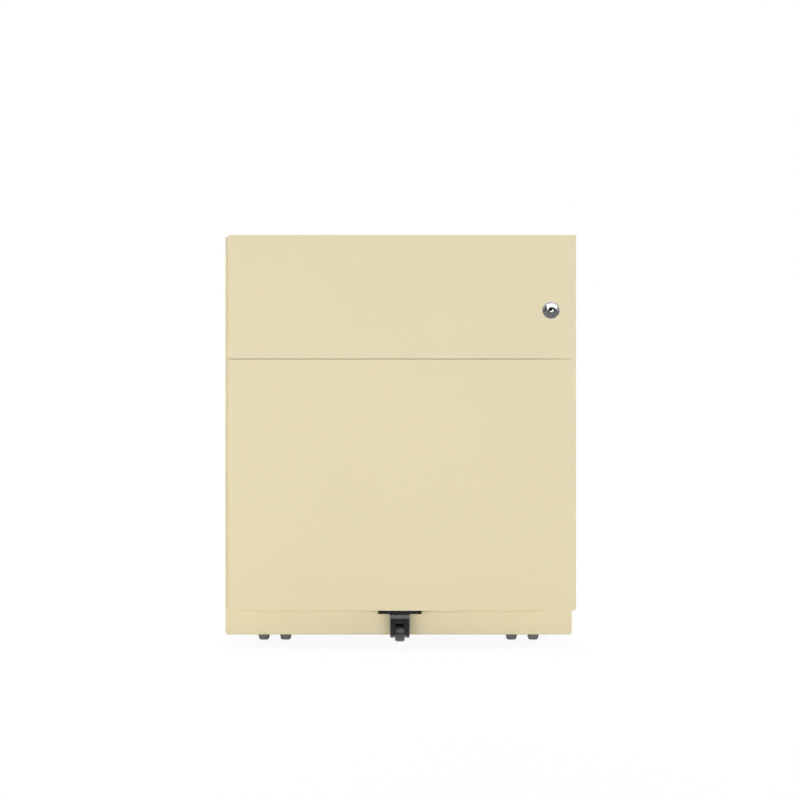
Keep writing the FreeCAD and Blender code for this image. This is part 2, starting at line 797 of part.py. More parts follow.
def castor_axle(axis):
    hub = V(axis.x, axis.y + castor_trail, wheel_radius)
    reach = wheel_spacing / 2 + wheel_width / 2 - axle_end_gap
    return rod(axle_radius, hub - X_AXIS * reach, X_AXIS * (2 * reach))


def castor_wheel(axis, side):
    """Rounded wheel with a dished outer face."""
    hub = V(axis.x + side * wheel_spacing / 2, axis.y + castor_trail, wheel_radius)
    inner_face = hub - X_AXIS * (side * wheel_width / 2)
    outer_face = hub + X_AXIS * (side * wheel_width / 2)
    wheel = rod(wheel_radius, inner_face, X_AXIS * (side * wheel_width))
    wheel = rounded(wheel, wheel_round, lambda b: b.XLength < edge_margin)
    dish = rod(wheel_dish_radius, outer_face, X_AXIS * (-side * wheel_dish_depth))
    boss = rod(wheel_hub_radius, outer_face, X_AXIS * (-side * wheel_dish_depth))
    through = X_AXIS * (side * (wheel_width + 2 * overrun))
    bore = rod(axle_radius + axle_gap, inner_face - X_AXIS * (side * overrun), through)
    return wheel.cut(dish.cut(boss)).cut(bore)


# Anti-tilt castor

def fifth_bracket():
    """Flat plate over a box-shaped fork, slotted for the wheel and open at the foot."""
    w, d = fifth_plate_width / 2, fifth_width / 2
    plate_y = face_y + fifth_plate_setback
    plate_ys = (plate_y, plate_y + fifth_plate_depth)
    plate = box((fifth_x - w, fifth_x + w), plate_ys, (fifth_plate_z, front_bottom))
    y = face_y + fifth_setback
    body = box((fifth_x - d, fifth_x + d), (y, y + fifth_depth), (fifth_tip, fifth_plate_z))
    fore = y + edge_margin
    foot = fifth_tip + edge_margin
    body = rounded(body, fifth_tip_round, lambda b: b.ZMax < foot and b.YLength < edge_margin)
    body = rounded(body, fifth_edge_round, lambda b: along_z(b) and b.YMax < fore)
    shoulder = ((y, fifth_plate_z - fifth_slope_height), (y + fifth_slope_depth, fifth_plate_z))
    shoulder += ((y - overrun, fifth_plate_z), (y - overrun, fifth_plate_z - fifth_slope_height))
    corners = [V(fifth_x - fifth_width, a, z) for a, z in shoulder]
    body = body.cut(Part.Face(Part.makePolygon(corners + corners[:1])).extrude(X_AXIS * (2 * fifth_width)))
    pocket_half = d - fifth_wall
    pocket_x = (fifth_x - pocket_half, fifth_x + pocket_half)
    pocket_y = (y + fifth_wall + fifth_slope_depth, y + fifth_depth - fifth_back_thick)
    under = fifth_tip - overrun
    pocket = box(pocket_x, pocket_y, (under, fifth_plate_z - fifth_wall))
    lower_pocket = box(pocket_x, (y + fifth_wall, pocket_y[1]), (under, fifth_slot_top))
    rear_half = fifth_wheel_width / 2 + fifth_back_gap
    rear_x = (fifth_x - rear_half, fifth_x + rear_half)
    rear_opening = box(rear_x, (pocket_y[0], y + fifth_depth + overrun), (under, fifth_back_bottom))
    slot_x = (fifth_x - fifth_slot_width / 2, fifth_x + fifth_slot_width / 2)
    slot = box(slot_x, (y - overrun, pocket_y[1]), (under, fifth_slot_top))
    body = body.cut([pocket, lower_pocket, rear_opening, slot])
    axle_start = V(fifth_x - fifth_width, fifth_axle_y, fifth_axle_z)
    axle_room = rod(fifth_axle_radius, axle_start, X_AXIS * (2 * fifth_width))
    bracket = joined(plate, body).cut(axle_room)
    for place in fifth_screw_places():
        bracket = bracket.cut(hole(place, Z_AXIS, 4 * fifth_plate_thick))
    return bracket


def fifth_wheel():
    """Small wheel with a barrel-shaped tread and a long hub."""
    centre = V(fifth_x, fifth_axle_y, fifth_axle_z)
    w = fifth_wheel_width / 2
    ends = [V(fifth_x + i * w, fifth_axle_y, fifth_axle_z + fifth_wheel_edge_radius) for i in (-1, 1)]
    crown = V(fifth_x, fifth_axle_y, fifth_axle_z + fifth_wheel_radius)
    feet = [V(p.x, p.y, fifth_axle_z) for p in ends]
    edges = [Part.Arc(ends[0], crown, ends[1]).toShape(), Part.LineSegment(ends[1], feet[1]).toShape()]
    edges.append(Part.LineSegment(feet[1], feet[0]).toShape())
    edges.append(Part.LineSegment(feet[0], ends[0]).toShape())
    tyre = Part.Face(Part.Wire(Part.sortEdges(edges)[0])).revolve(centre, X_AXIS, 360)
    tyre = rounded(tyre, fifth_wheel_round, lambda b: b.XLength < edge_margin and b.ZMax > fifth_axle_z)
    hub_half = fifth_width / 2 - fifth_wall - fifth_hub_gap
    hub = rod(fifth_hub_radius, centre - X_AXIS * hub_half, X_AXIS * (2 * hub_half))
    bore = rod(fifth_axle_radius + axle_gap, centre - X_AXIS * fifth_width, X_AXIS * (2 * fifth_width))
    return joined(tyre, hub).cut(bore)


def fifth_axle():
    start = V(fifth_x - fifth_width / 2, fifth_axle_y, fifth_axle_z)
    return rod(fifth_axle_radius, start, X_AXIS * fifth_width)


def fifth_screws():
    reach = fifth_plate_thick + sheet
    found = [screw(p, -Z_AXIS, reach, pan_head_height) for p in fifth_screw_places()]
    return Part.makeCompound(found)


def all_pieces():
    """Every node of the cabinet by name."""
    nodes = {
        "side_panel_left": side_panel(-1),
        "side_panel_right": side_panel(1),
        "top_panel": top_panel(),
        "back_panel": back_panel(),
        "base_pan": base_pan(),
        "plinth_rail": plinth_rail(),
        "runner_screws": runner_screws(),
        "castor_plates": castor_plates(),
        "castor_screws": castor_screws(),
        "lock_bar_guides": lock_bar_guides(),
        "lock_bar": lock_bar(),
        "upper_tray": upper_tray(),
        "upper_tray_back": tray_back(upper_tray_bottom, upper_tray_top),
        "fiche_row_divider": row_divider(),
        "lower_tray": tray(lower_tray_bottom, lower_tray_top, lower_lug_bottom),
        "lower_tray_back": tray_back(lower_tray_bottom, lower_tray_top),
        "hanging_file_frame": file_frame(),
        "lock_housing": lock_housing(),
        "lock_nut": lock_nut(),
        "lock_plug": lock_plug(),
        "lock_cam": lock_cam(),
        "lock_cam_screw": lock_cam_screw(),
        "anti_tilt_bracket": fifth_bracket(),
        "anti_tilt_screws": fifth_screws(),
        "anti_tilt_axle": fifth_axle(),
        "anti_tilt_wheel": fifth_wheel(),
    }
    for name, upper in (("upper", True), ("lower", False)):
        nodes[f"{name}_drawer_front"] = drawer_front(upper)
        nodes[f"{name}_front_liner"] = front_liner(upper)
        nodes[f"{name}_bumpers"] = bumpers(upper)
        mid_z = upper_runner_mid if upper else lower_runner_mid
        height = upper_runner_height if upper else lower_runner_height
        for hand, side in (("left", -1), ("right", 1)):
            members = runner(side, mid_z, height)
            for kind, member in zip(("outer", "middle", "inner"), members):
                nodes[f"{name}_runner_{kind}_{hand}"] = member
    for name, axis in castor_axes().items():
        nodes[f"castor_{name}_housing"] = castor_housing(axis)
        nodes[f"castor_{name}_axle"] = castor_axle(axis)
        nodes[f"castor_{name}_wheel_left"] = castor_wheel(axis, -1)
        nodes[f"castor_{name}_wheel_right"] = castor_wheel(axis, 1)
    return nodes


os.makedirs("parts", exist_ok=True)
for node, shape in all_pieces().items():
    shape.exportStep(f"parts/{node}.step")
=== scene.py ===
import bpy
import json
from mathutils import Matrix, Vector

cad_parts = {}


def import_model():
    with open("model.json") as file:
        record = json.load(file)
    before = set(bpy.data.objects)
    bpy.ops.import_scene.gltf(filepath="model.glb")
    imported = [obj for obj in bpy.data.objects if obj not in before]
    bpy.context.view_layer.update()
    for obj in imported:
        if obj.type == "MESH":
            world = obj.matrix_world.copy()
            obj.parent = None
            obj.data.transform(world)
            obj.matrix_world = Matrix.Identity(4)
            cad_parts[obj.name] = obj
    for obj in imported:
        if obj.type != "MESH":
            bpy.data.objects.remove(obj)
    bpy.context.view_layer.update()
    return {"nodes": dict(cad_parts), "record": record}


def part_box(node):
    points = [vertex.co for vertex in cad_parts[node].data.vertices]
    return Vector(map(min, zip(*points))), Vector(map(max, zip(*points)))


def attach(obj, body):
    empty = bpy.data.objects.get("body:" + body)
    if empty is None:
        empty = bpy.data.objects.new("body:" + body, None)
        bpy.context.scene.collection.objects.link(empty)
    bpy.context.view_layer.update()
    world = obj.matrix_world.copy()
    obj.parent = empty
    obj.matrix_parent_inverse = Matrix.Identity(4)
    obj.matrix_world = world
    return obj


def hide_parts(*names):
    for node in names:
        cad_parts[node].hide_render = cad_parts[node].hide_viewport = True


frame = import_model()

import json
import math

import bmesh
import bpy
from mathutils import Matrix, Vector

NODES = frame["nodes"]
MM = 0.001                      # metres in a millimetre
RIGHT, UP, AHEAD = (1, 0, 0), (0, 0, 1), (0, -1, 0)
WHITE = (1, 1, 1, 1)

# Looks: linear strengths and places in metres

AMBIENT = 0.1                   # world, for diffuse light
STUDIO_FRONT = 0.1              # world in reflections, towards the front
STUDIO_FADE = (-0.45, 0.05)     # its Y direction from dim to white
FLOOR_HALF = 6.0
FLOOR_PLAIN = 0.88              # floor's colour for diffuse light
FLOOR_SHADOW = 0.1              # floor's colour to the camera, over its glow
FLOOR_GLOW = 0.93
FLOOR_FADE = (0.9, 2.0)         # distance from the part where it turns plain white
FLOOR_FRONT = 0.16              # floor in reflections, in front of the part
FLOOR_FRONT_FADE = (-0.31, -0.36)
EYE = (0.00043, -2.4405, 0.2983)    # camera's place
LENS, SENSOR = 81.2, 36.0       # millimetres
NEAR_CLIP = 0.01

SHARP_ANGLE = 32                # degrees between faces that meet in a sharp edge
WELD = 1e-8                     # distance that joins corners of a turned mesh
CAD_WELD = 1e-6                 # distance that joins corners of a CAD mesh
FINE_STEPS = 128                # round the lock


# Node helpers

def new_material(name):
    """Material with an output and a Principled shader, joined."""
    mat = bpy.data.materials.new(name)
    mat.use_nodes = True
    tree = mat.node_tree
    tree.nodes.clear()
    out = tree.nodes.new("ShaderNodeOutputMaterial")
    shader = tree.nodes.new("ShaderNodeBsdfPrincipled")
    link(tree, shader.outputs["BSDF"], out.inputs["Surface"])
    return mat, tree, shader


def node(tree, kind, **values):
    """Node with its inputs set where a name is one of them, and its attributes otherwise."""
    made = tree.nodes.new(kind)
    for key, value in values.items():
        if key in made.inputs:
            made.inputs[key].default_value = value
        else:
            setattr(made, key, value)
    return made


def link(tree, source, target):
    tree.links.new(source, target)


def position(tree):
    return node(tree, "ShaderNodeTexCoord").outputs["Object"]


def stretched(tree, vector, scale):
    mapping = node(tree, "ShaderNodeMapping", Scale=scale)
    link(tree, vector, mapping.inputs["Vector"])
    return mapping.outputs["Vector"]


def noise(tree, vector, scale, detail=3.0):
    made = node(tree, "ShaderNodeTexNoise", Scale=scale, Detail=detail, Roughness=0.5)
    link(tree, vector, made.inputs["Vector"])
    return made.outputs["Fac"]


def ramp(tree, source, low, high, start=0.3, end=0.7):
    """Maps a source between start and end to values from low to high."""
    made = node(tree, "ShaderNodeMapRange")
    made.inputs["From Min"].default_value = start
    made.inputs["From Max"].default_value = end
    made.inputs["To Min"].default_value = low
    made.inputs["To Max"].default_value = high
    link(tree, source, made.inputs["Value"])
    return made.outputs["Result"]


def tinted(tree, source, dark, light):
    """Colour between two colours by a 0 to 1 source."""
    factor, first, second, result = 0, 6, 7, 2      # a colour mix's own sockets
    made = node(tree, "ShaderNodeMix", data_type="RGBA")
    made.inputs[first].default_value = (*dark, 1)
    made.inputs[second].default_value = (*light, 1)
    link(tree, source, made.inputs[factor])
    return made.outputs[result]


def bump(tree, shader, height, strength, distance):
    made = node(tree, "ShaderNodeBump", Strength=strength, Distance=distance)
    link(tree, height, made.inputs["Height"])
    link(tree, made.outputs["Normal"], shader.inputs["Normal"])


def mixed(tree, factor, first, second):
    """Shader that turns from the first to the second as the factor goes from 0 to 1."""
    made = node(tree, "ShaderNodeMixShader")
    for source, target in zip((factor, first, second), made.inputs):
        link(tree, source, target)
    return made.outputs[0]


def glowing(tree, strength):
    return node(tree, "ShaderNodeEmission", Color=WHITE, Strength=strength).outputs[0]


def matt(tree, level):
    return node(tree, "ShaderNodeBsdfDiffuse", Color=(level, level, level, 1)).outputs[0]


def along_y(tree, vector):
    """Y of a vector."""
    parts = node(tree, "ShaderNodeSeparateXYZ")
    link(tree, vector, parts.inputs[0])
    return parts.outputs["Y"]


def linear(value):
    """Linear value of an sRGB channel, by the standard's curve."""
    return value / 12.92 if value <= 0.04045 else ((value + 0.055) / 1.055) ** 2.4


def srgb(r, g, b):
    return tuple(linear(c / 255) for c in (r, g, b))


def scaled(colour, share):
    return tuple(c * share for c in colour)


# Materials: noise scales are per metre and bump distances in metres

def powder_coat(name, colour, spread=0.012, rough=0.42, metallic=0.0):
    """Satin powder coat with its fine orange peel and a slight cloudiness."""
    cloud_scale, peel_scale, detail = 6.0, 650.0, 2.0
    swing = 0.03
    mat, tree, shader = new_material(name)
    place = position(tree)
    cloud = ramp(tree, noise(tree, place, cloud_scale, detail), 0, 1)
    tint = tinted(tree, cloud, scaled(colour, 1 - spread), scaled(colour, 1 + spread / 2))
    link(tree, tint, shader.inputs["Base Color"])
    peel = noise(tree, place, peel_scale, detail)
    link(tree, ramp(tree, peel, rough - swing, rough + swing), shader.inputs["Roughness"])
    shader.inputs["Metallic"].default_value = metallic
    bump(tree, shader, peel, strength=0.18, distance=0.00012)
    return mat


def zinc(name, colour):
    """Bright zinc plate on rolled steel: faint rolling lines and cloudy patches."""
    rolled = (1, 0.02, 1)
    line_scale, cloud_scale, cloud_detail = 900.0, 45.0, 4.0
    bright, dull = 0.24, 0.4
    mat, tree, shader = new_material(name)
    place = position(tree)
    lines = noise(tree, stretched(tree, place, rolled), line_scale)
    cloud = noise(tree, place, cloud_scale, cloud_detail)
    tint = tinted(tree, ramp(tree, cloud, 0, 1), scaled(colour, 0.9), scaled(colour, 1.06))
    link(tree, tint, shader.inputs["Base Color"])
    shader.inputs["Metallic"].default_value = 1
    link(tree, ramp(tree, lines, bright, dull), shader.inputs["Roughness"])
    bump(tree, shader, lines, strength=0.12, distance=0.0001)
    return mat


def chrome(name, colour):
    """Polished chrome with a breath of handling marks."""
    wear_scale, wear_detail = 1500.0, 4.0
    polished, worn = 0.07, 0.15
    mat, tree, shader = new_material(name)
    wear = noise(tree, position(tree), wear_scale, wear_detail)
    tint = tinted(tree, ramp(tree, wear, 0, 1), scaled(colour, 0.96), colour)
    link(tree, tint, shader.inputs["Base Color"])
    shader.inputs["Metallic"].default_value = 1
    link(tree, ramp(tree, wear, polished, worn), shader.inputs["Roughness"])
    bump(tree, shader, wear, strength=0.03, distance=0.00005)
    return mat


def moulded(name, colour, rough=0.5, grain=1400.0, lift=0.18, spread=0.08, gloss=0.5):
    """Moulded plastic or rubber with a fine spark-eroded grain."""
    cloud_scale = 60.0
    smoother, rougher = 0.06, 0.08
    mat, tree, shader = new_material(name)
    place = position(tree)
    fine = noise(tree, place, grain)
    cloud = ramp(tree, noise(tree, place, cloud_scale), 0, 1)
    tint = tinted(tree, cloud, scaled(colour, 1 - spread), scaled(colour, 1 + spread))
    link(tree, tint, shader.inputs["Base Color"])
    link(tree, ramp(tree, fine, rough - smoother, rough + rougher), shader.inputs["Roughness"])
    shader.inputs["Specular IOR Level"].default_value = gloss
    bump(tree, shader, fine, strength=lift, distance=0.00008)
    return mat


MATERIALS = {
    "cabinet_paint": powder_coat("cabinet_paint", srgb(228, 216, 181)),
    "zinc_steel": zinc("zinc_steel", (0.62, 0.63, 0.64)),
    "chrome_lock": chrome("chrome_lock", (0.86, 0.86, 0.87)),
    "black_paint": powder_coat("black_paint", srgb(99, 99, 100), spread=0.06, rough=0.27,
                               metallic=1.0),
    "black_nylon": moulded("black_nylon", srgb(40, 40, 41), rough=0.32, gloss=1.0),
    "castor_plastic": moulded("castor_plastic", srgb(62, 62, 64)),
    "wheel_plastic": moulded("wheel_plastic", srgb(84, 84, 85), gloss=0.3),
    "rubber": moulded("rubber", srgb(52, 52, 52), rough=0.75, lift=0.25),
    "nylon": moulded("nylon", srgb(222, 221, 212), rough=0.42, spread=0.02),
}
TREAD = moulded("wheel_tread", srgb(128, 128, 128), rough=0.6, grain=2200.0, lift=0.22,
                gloss=0.15)
# Near-black for the walls of the keyway and of the screws' cross recesses: painted shade, where
# these holes fall dark
PAINTED_RECESS_SHADE = moulded("painted_recess_shade", srgb(16, 15, 14), rough=0.7)
for entry in frame["record"]["subparts"]:
    mesh = NODES[entry["node"]].data
    mesh.materials.clear()
    mesh.materials.append(MATERIALS[entry["material_slot"]])


# Mesh helpers: outlines and profiles are in millimetres, centres in metres

def turned(profile, centre, axis, steps):
    """Closed solid of revolution from pairs of radius and distance along the axis."""
    axis = Vector(axis).normalized()
    side = axis.orthogonal().normalized()
    up = axis.cross(side)
    bm = bmesh.new()
    rings = []
    for k in range(steps):
        angle = 2 * math.pi * k / steps
        out = side * math.cos(angle) + up * math.sin(angle)
        rings.append([bm.verts.new(Vector(centre) + (out * r + axis * h) * MM)
                      for r, h in profile])
    for k in range(steps):
        near, far = rings[k], rings[(k + 1) % steps]
        for i in range(len(profile)):
            j = (i + 1) % len(profile)
            bm.faces.new((near[i], near[j], far[j], far[i]))
    bmesh.ops.remove_doubles(bm, verts=bm.verts, dist=WELD)
    bmesh.ops.dissolve_degenerate(bm, edges=bm.edges, dist=WELD)
    bmesh.ops.recalc_face_normals(bm, faces=bm.faces)
    return bm


def arc(centre, radius, start, end, steps):
    """Points on a circle between two angles in degrees."""
    spots = []
    for k in range(steps + 1):
        angle = math.radians(start + (end - start) * k / steps)
        spots.append((centre[0] + radius * math.cos(angle), centre[1] + radius * math.sin(angle)))
    return spots


def prism(outline, centre, axes, depth):
    """Closed prism over an outline in the first two of three axes, along the third."""
    right, up, along = (Vector(a) for a in axes)
    bm = bmesh.new()
    rows = []
    for level in depth:
        rows.append([bm.verts.new(Vector(centre) + (right * u + up * v + along * level) * MM)
                     for u, v in outline])
    count = len(outline)
    for i in range(count):
        j = (i + 1) % count
        bm.faces.new((rows[0][i], rows[0][j], rows[1][j], rows[1][i]))
    bm.faces.new(rows[0])
    bm.faces.new(rows[1])
    bmesh.ops.recalc_face_normals(bm, faces=bm.faces)
    return bm


def absorb(bm, mesh):
    """Adds a mesh to a bmesh and removes the mesh."""
    bm.from_mesh(mesh)
    bpy.data.meshes.remove(mesh)


def smooth(mesh):
    """Smooth shading but for the sharp edges."""
    mesh.shade_smooth()
    mesh.set_sharp_from_angle(angle=math.radians(SHARP_ANGLE))


def piece(name, bm, *materials):
    """Object from a bmesh, which is freed."""
    mesh = bpy.data.meshes.new(name)
    bm.to_mesh(mesh)
    bm.free()
    for mat in materials:
        mesh.materials.append(mat)
    smooth(mesh)
    obj = bpy.data.objects.new(name, mesh)
    bpy.context.scene.collection.objects.link(obj)
    return obj


def carve(obj, cutters):
    """Cuts each cutter out of an object and removes the cutters."""
    for cutter in cutters:
        change = obj.modifiers.new("carve", "BOOLEAN")
        change.operation = "DIFFERENCE"
        change.solver = "EXACT"
        change.material_mode = "TRANSFER"
        change.object = cutter
    bpy.context.view_layer.update()
    graph = bpy.context.evaluated_depsgraph_get()
    mesh = bpy.data.meshes.new_from_object(obj.evaluated_get(graph))
    obj.modifiers.clear()
    obj.data = mesh
    smooth(mesh)
    for cutter in cutters:
        bpy.data.objects.remove(cutter)


def soften(obj, width, angle):
    """Rounds the edges where faces meet at more than an angle in degrees."""
    change = obj.modifiers.new("soft_edges", "BEVEL")
    change.width = width * MM
    change.segments = 3
    change.limit_method = "ANGLE"
    change.angle_limit = math.radians(angle)


def settle(obj, body, slot, *replaced):
    """Rides on a body and stands for CAD nodes; the slot is not used."""
    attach(obj, body)
    if replaced:
        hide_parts(*replaced)


def islands(name):
    """Lowest and highest corner of each loose part of a CAD node."""
    bm = bmesh.new()
    bm.from_mesh(NODES[name].data)
    bmesh.ops.remove_doubles(bm, verts=bm.verts, dist=CAD_WELD)
    seen = set()
    boxes = []
    for start in bm.verts:
        if start in seen:
            continue
        seen.add(start)
        stack, group = [start], []
        while stack:
            vert = stack.pop()
            group.append(vert.co.copy())
            for edge in vert.link_edges:
                other = edge.other_vert(vert)
                if other not in seen:
                    seen.add(other)
                    stack.append(other)
        low = Vector([min(p[i] for p in group) for i in range(3)])
        high = Vector([max(p[i] for p in group) for i in range(3)])
        boxes.append((low, high))
    bm.free()
    return boxes


# Lock

def lock():
    """Domed bezel with a rim and groove, and a domed plug dished round its keyway."""
    proud = 4.0                 # dome before the front's face
    sphere = 18.3
    crest = proud - sphere
    rear = -27.0                # back end of the barrel
    low, high = (Vector(c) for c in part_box("lock_housing"))
    face = low.y + proud * MM
    centre = Vector(((low.x + high.x) / 2, face, (low.z + high.z) / 2))

    def dome(r):
        return crest + math.sqrt(sphere * sphere - r * r)

    bezel = bezel_piece(centre, rear, dome)
    settle(bezel, "upper_drawer", "chrome_lock", "lock_housing")
    plug = plug_piece(centre, rear, dome)
    settle(plug, "lock_plug", "chrome_lock", "lock_plug")


def bezel_piece(centre, rear, dome):
    """Barrel with two flats, behind a domed ring with a rim and a groove."""
    bore, lip = 6.25, 6.3
    barrel = 8.25
    flat, beyond = 7.2, 12
    rim, rim_edge, rim_middle = 10.4, 0.55, (9.85, 0.85)
    profile = [(bore, rear), (barrel, rear), (barrel, 0.0), (rim, 0.0), (rim, 0.8)]
    profile += arc(rim_middle, rim_edge, 0, 120, 7)
    profile += [(9.35, 0.9), (9.2, 0.5), (8.85, 0.5), (8.75, 0.9)]
    profile += [(r, dome(r)) for r in (8.65, 8.4, 8.0, 7.5, 7.0, 6.6, 6.36)]
    profile += [(6.27, dome(lip) - 0.05), (bore, dome(lip) - 0.15)]
    bezel = piece("lock_bezel", turned(profile, centre, AHEAD, FINE_STEPS),
                  MATERIALS["chrome_lock"])
    flats = []
    for side in (-1, 1):
        outline = [(side * flat, -beyond), (side * beyond, -beyond)]
        outline += [(side * beyond, beyond), (side * flat, beyond)]
        bm = prism(outline, centre, (RIGHT, UP, AHEAD), (rear - 3.0, -0.01))
        flats.append(piece("flat", bm, MATERIALS["chrome_lock"]))
    carve(bezel, flats)
    return bezel


def plug_piece(centre, rear, dome):
    """Domed face with a dish and keyway, and a stem bored for the cam's screw."""
    radius, rim, rings = 6.2, 6.12, 30
    stem, bore, bore_depth = 3.5, 1.65, 9.0
    dished_from = 1.5           # before the front's face, so that only the dome is dished
    dish_right, dish_up = 0.6, 1.9
    dish_half, dish_above, dish_below, dish_depth = 3.8, 2.2, 4.9, 1.1
    tail = (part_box("lock_plug")[1][1] - centre.y) / MM
    rims = [radius * k / rings for k in range(rings)] + [rim]
    profile = [(r, dome(r)) for r in rims] + [(radius, dome(radius) - 0.12), (radius, rear)]
    profile += [(stem, rear), (stem, -tail), (bore, -tail)]
    profile += [(bore, -tail + bore_depth), (0, -tail + bore_depth)]
    bm = turned(profile, centre, AHEAD, FINE_STEPS)
    for vert in bm.verts:
        if vert.co.y > centre.y - dished_from * MM:
            continue
        u = (vert.co.x - centre.x) / MM - dish_right
        v = (vert.co.z - centre.z) / MM - dish_up
        reach = math.hypot(u / dish_half, v / (dish_below if v < 0 else dish_above))
        if reach < 1:
            vert.co.y += dish_depth * MM * (0.5 + 0.5 * math.cos(math.pi * reach))
    plug = piece("lock_plug_face", bm, MATERIALS["chrome_lock"])
    left_lobe = [(-1.7, -0.9), (-3.0, 0.2), (-3.0, 1.7), (-1.9, 2.4), (-1.3, 3.3), (0.5, 3.3)]
    left_lobe += [(1.2, 2.3), (1.4, 1.9)]
    right_lobe = [(2.6, 1.9), (2.9, 2.9), (4.0, 2.9), (4.8, 2.2), (5.4, 1.6), (5.4, 0.3)]
    right_lobe += [(4.6, -0.8), (3.3, -0.8), (2.8, 0.2), (2.7, 1.4)]
    ward = [(1.5, 1.4), (1.5, 0.4), (0.9, -0.6)]
    bm = prism(left_lobe + right_lobe + ward, centre, (RIGHT, UP, AHEAD), (-10.0, 6.0))
    # The keyway's walls take the near-black material: painted shade inside the keyway
    carve(plug, [piece("keyway", bm, PAINTED_RECESS_SHADE)])
    return plug


# Castor wheels

def castor_wheels():
    """Wheels with a grey tread, and a ribbed dish round the hub."""
    steps = 96
    half, hub_bore = 6.3, 3.05
    tread_from = 16.4
    ribs, rib_from, rib_to, rib_depth = 8, 6.2, 14.2, (4.3, 5.7)
    rib_outline = [(rib_from, -0.6), (rib_to, -0.45), (rib_to, 0.45), (rib_from, 0.6)]
    profile = arc((17.0, -3.3), 3.0, -90, -12, 6)
    profile += [(20.0, -2.0), (20.0, 2.0)] + arc((17.0, 3.3), 3.0, 12, 90, 6)
    profile += [(15.0, half), (14.5, 6.05), (13.9, 4.9), (13.4, 4.7)]
    profile += [(6.9, 4.7), (6.3, 4.95), (5.7, 6.1), (5.3, half)]
    profile += [(3.3, half), (hub_bore, 6.05), (hub_bore, -6.05), (3.3, -half)]
    profile += [(6.0, -half), (6.4, -5.6), (15.6, -5.6), (16.0, -half)]
    for corner in ("front_left", "front_right", "rear_left", "rear_right"):
        for hand, side in (("left", -1), ("right", 1)):
            name = f"castor_{corner}_wheel_{hand}"
            outward = (side, 0, 0)
            low, high = (Vector(c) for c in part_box(name))
            centre = (low + high) / 2
            bm = turned(profile, centre, outward, steps)
            for face in bm.faces:
                spot = face.calc_center_median() - centre
                face.material_index = int(math.hypot(spot.y, spot.z) > tread_from * MM)
            for k in range(ribs):
                angle = math.radians(360 / ribs * (k + 0.5))
                out = (0, math.cos(angle), math.sin(angle))
                across = (0, -math.sin(angle), math.cos(angle))
                rib = prism(rib_outline, centre, (out, across, outward), rib_depth)
                mesh = bpy.data.meshes.new("rib")
                rib.to_mesh(mesh)
                rib.free()
                absorb(bm, mesh)
            obj = piece(name.replace("castor_", "castor_detail_"), bm,
                        MATERIALS["wheel_plastic"], TREAD)
            settle(obj, name, "wheel_plastic", name)


# Anti-tilt bracket

def bracket():
    """Softened edges, and a small lug pressed out over the slot."""
    soften(NODES["anti_tilt_bracket"], 0.5, 40)
    setback = 2                 # bracket's face behind the edge of its plate
    lug_up, lug_spread, lug_round, lug_depth = 31.1, 1.4, 0.9, (-1.0, 0.45)
    low, high = (Vector(c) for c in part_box("anti_tilt_bracket"))
    centre = Vector(((low.x + high.x) / 2, low.y + setback * MM, lug_up * MM))
    outline = arc((-lug_spread, 0), lug_round, 90, 270, 8)
    outline += arc((lug_spread, 0), lug_round, -90, 90, 8)
    bm = prism(outline, centre, (RIGHT, UP, AHEAD), lug_depth)
    lug = piece("bracket_lug", bm, MATERIALS["black_paint"])
    soften(lug, 0.35, 30)
    settle(lug, "lower_drawer", "black_paint")


# Screws

def screw_mesh(head_radius, head_height, shank_radius, reach):
    """Pan-head screw with a cross recess: head below zero and shank above."""
    steps = 40
    edge = min(head_height * 0.75, 1.4)
    bevel = 0.5
    profile = [(0, -head_height), (head_radius - edge * 1.6, -head_height)]
    profile += arc((head_radius - edge, -head_height + edge), edge, -80, 0, 5)
    profile += [(head_radius, -0.12), (head_radius - 0.15, 0), (shank_radius, 0)]
    profile += [(shank_radius, reach - bevel), (shank_radius - bevel, reach), (0, reach)]
    obj = piece("screw", turned(profile, (0, 0, 0), UP, steps), MATERIALS["zinc_steel"])
    half, arm, deep = head_radius * 0.14, head_radius * 0.52, head_height * 0.7
    outline = [(-arm, -half), (-half, -half), (-half, -arm)]
    outline += [(half, -arm), (half, -half), (arm, -half)]
    outline += [(arm, half), (half, half), (half, arm)]
    outline += [(-half, arm), (-half, half), (-arm, half)]
    bm = prism(outline, (0, 0, 0), (RIGHT, (0, 1, 0), UP), (-head_height - 1, -head_height + deep))
    # The cross recess's walls take the near-black material: painted shade inside the recess
    carve(obj, [piece("cross", bm, PAINTED_RECESS_SHADE)])
    mesh = obj.data
    bpy.data.objects.remove(obj)
    return mesh


def screws(name, node_name, body, direction, head_radius, head_height, shank_radius):
    """Screws in place of a CAD group, in the direction from the head along the shank."""
    first_turn, next_turn = 11, 37      # degrees, so that the crosses don't line up
    boxes = islands(node_name)
    low, high = boxes[0]
    way = direction(low, high)
    length = max(abs(way[i]) * (high[i] - low[i]) for i in range(3))
    mesh = screw_mesh(head_radius, head_height, shank_radius, length / MM - head_height)
    bm = bmesh.new()
    for count, (low, high) in enumerate(boxes):
        way = Vector(direction(low, high))
        head = (low + high) / 2
        for i in range(3):
            if way[i] > 0:
                head[i] = low[i] + head_height * MM
            elif way[i] < 0:
                head[i] = high[i] - head_height * MM
        turn = way.to_track_quat("Z", "Y").to_matrix().to_4x4()
        spin = Matrix.Rotation(math.radians(next_turn * count + first_turn), 4, "Z")
        copy = mesh.copy()
        # Known fault: the mesh is in metres already, so this scale leaves the screws too small.
        copy.transform(Matrix.Translation(head) @ turn @ spin @ Matrix.Scale(MM, 4))
        absorb(bm, copy)
    # Second material: the painted shade of the cross recesses
    obj = piece(name, bm, MATERIALS["zinc_steel"], PAINTED_RECESS_SHADE)
    settle(obj, body, "zinc_steel", node_name)


# Stage: floor, world, lamps and camera

